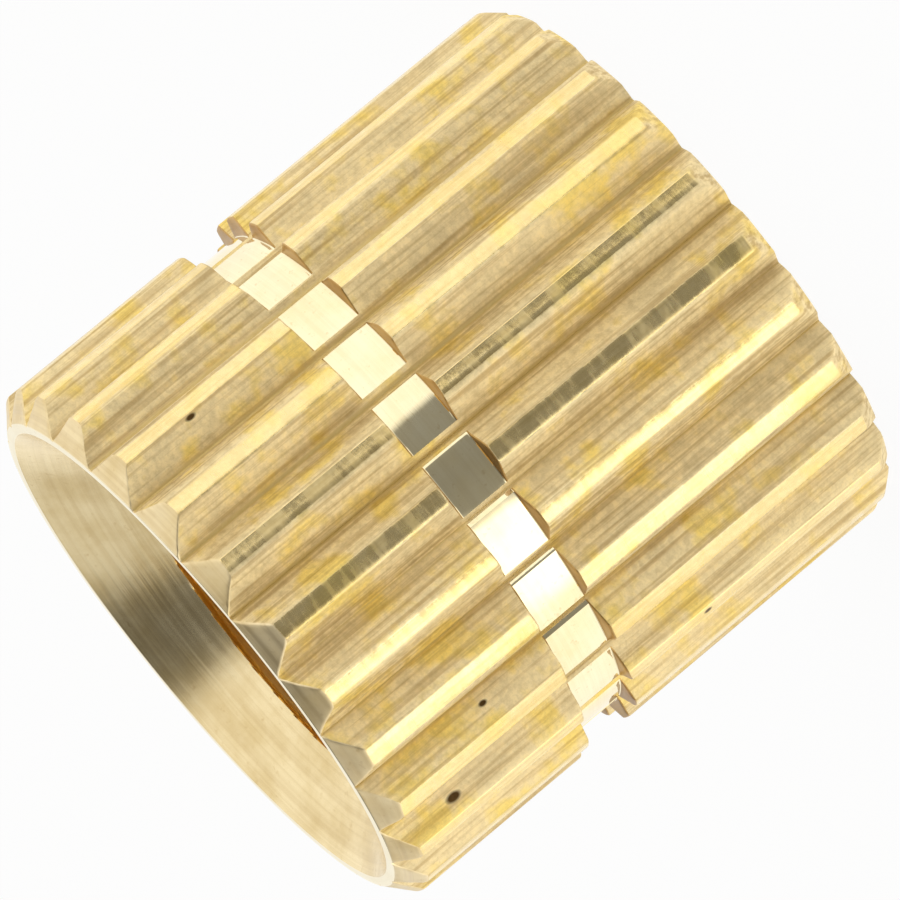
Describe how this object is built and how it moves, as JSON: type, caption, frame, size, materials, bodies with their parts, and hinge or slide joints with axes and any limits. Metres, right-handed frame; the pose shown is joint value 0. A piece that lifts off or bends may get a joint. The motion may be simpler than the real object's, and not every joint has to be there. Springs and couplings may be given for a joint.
{
  "type": "threaded insert",
  "caption": "Straight-knurled brass threaded insert with a ring groove, chamfered ends and a countersunk through thread, pressed or heat-set into plastic to take a machine screw.",
  "frame": {"origin": "centre of the bottom face, on the thread's axis", "axes": "+Z along the thread's axis, towards the end with the deep countersink, where the screw goes in"},
  "size_m": [0.006, 0.006, 0.006],
  "materials": {
    "brass": "turned free-machining brass, rolled knurl, bare"
  },
  "bodies": {
    "root": {"knurled_insert": "brass"}
  },
  "joints": []
}
